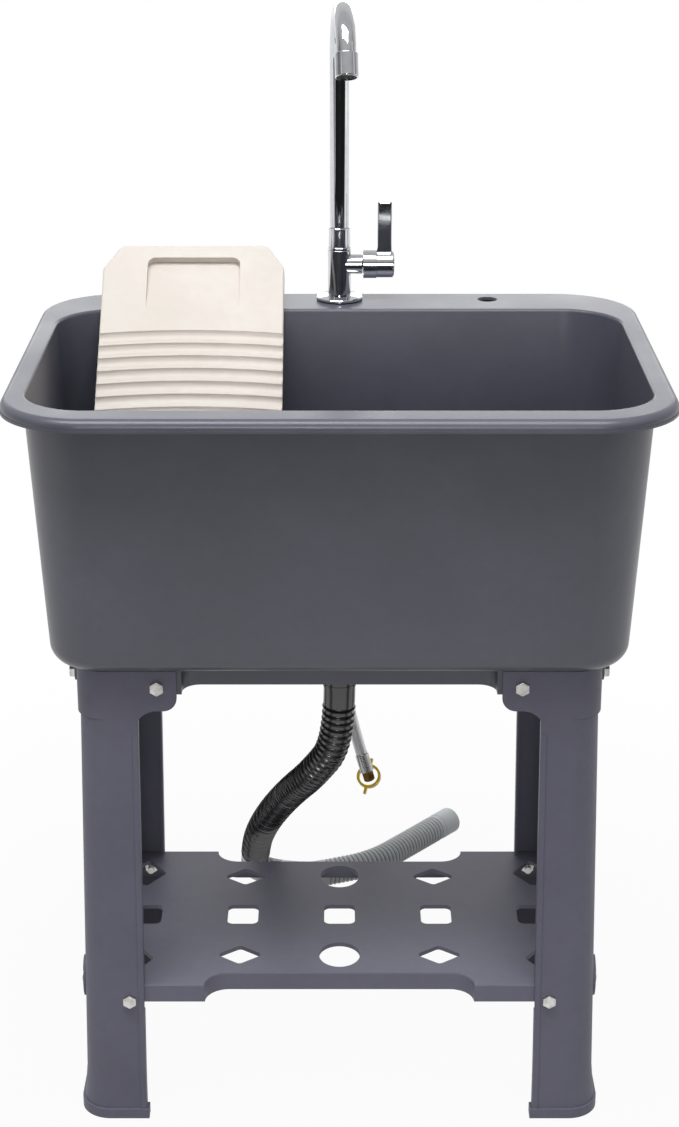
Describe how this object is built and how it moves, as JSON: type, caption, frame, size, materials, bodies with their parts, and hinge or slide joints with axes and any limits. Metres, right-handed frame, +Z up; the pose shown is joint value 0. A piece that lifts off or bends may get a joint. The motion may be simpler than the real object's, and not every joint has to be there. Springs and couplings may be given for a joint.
{
  "type": "utility laundry sink",
  "caption": "Free-standing moulded laundry sink on bolted legs with a perforated lower shelf, a deck tap with swan-neck spout and side lever, a leaning washboard and drain and supply hoses.",
  "frame": {"origin": "on the floor under the middle of the tub's rim", "axes": "+Z up, +Y towards the back where the tap stands, +X to the right seen from the front"},
  "size_m": [0.65, 0.7541, 1.13],
  "materials": {
    "tub_plastic": "moulded polypropylene, satin",
    "leg_plastic": "moulded polypropylene, fine texture",
    "board_plastic": "moulded polypropylene, cream",
    "chrome": "chrome plated",
    "zinc_steel": "zinc plated",
    "stainless": "stamped stainless steel",
    "brass": "plain turned brass",
    "black_hose": "corrugated polyethylene, semi gloss",
    "grey_hose": "corrugated polypropylene, satin",
    "braid": "braided stainless steel wire",
    "rubber": "moulded rubber",
    "white_plastic": "moulded nylon",
    "black_plastic": "moulded nylon",
    "yellow_steel": "yellow zinc lacquer"
  },
  "bodies": {
    "sink": {"tub": "tub_plastic", "upper_frame": "leg_plastic", "leg_front_left": "leg_plastic", "leg_front_right": "leg_plastic", "leg_rear_left": "leg_plastic", "leg_rear_right": "leg_plastic", "shelf": "leg_plastic", "upper_leg_bolts": "zinc_steel", "upper_leg_washers": "zinc_steel", "upper_leg_nuts": "zinc_steel", "lower_leg_bolts": "zinc_steel", "lower_leg_washers": "zinc_steel", "lower_leg_nuts": "zinc_steel", "drain_gasket": "rubber", "drain_body": "black_plastic", "drain_washer": "rubber", "drain_nut": "black_plastic", "tap_gasket": "rubber", "tap_flange": "chrome", "tap_body": "chrome", "valve_cartridge": "brass", "spout_seal": "rubber", "spout_nut": "chrome", "tap_washer": "rubber", "tap_locknut": "brass", "supply_union_nut": "chrome", "supply_ferrule_top": "stainless", "supply_hose": "braid", "supply_ferrule": "stainless", "supply_nipple": "brass", "hose_clamp": "yellow_steel", "hose_cuff": "black_hose", "drain_hose": "black_hose", "hose_elbow": "black_hose", "outlet_cuff": "grey_hose", "outlet_hose": "grey_hose", "outlet_end": "grey_hose"},
    "spout": {"spout_tube": "chrome", "spout_bush": "white_plastic", "aerator_housing": "chrome", "aerator_insert": "black_plastic"},
    "lever": {"valve_spindle": "brass", "lever_handle": "chrome", "lever_screw": "zinc_steel", "lever_cap": "chrome"},
    "washboard": {"washboard": "board_plastic"},
    "strainer": {"strainer_basket": "stainless", "strainer_knob": "black_plastic"}
  },
  "joints": [
    {"name": "spout_swivel", "type": "hinge", "parent": "sink", "child": "spout", "pos_m": [0, 0.217, 0.9], "axis": [0, 0, 1], "continuous": true},
    {"name": "lever_turn", "type": "hinge", "parent": "sink", "child": "lever", "pos_m": [0.04, 0.217, 0.84], "axis": [1, 0, 0], "range_deg": [0, 90]},
    {"name": "washboard_lift", "type": "slide", "parent": "sink", "child": "washboard", "axis": [0, 0.7772, 0.6293], "range_m": [0, 0.3]},
    {"name": "strainer_lift", "type": "slide", "parent": "sink", "child": "strainer", "axis": [0, 0, 1], "range_m": [0, 0.08]}
  ]
}
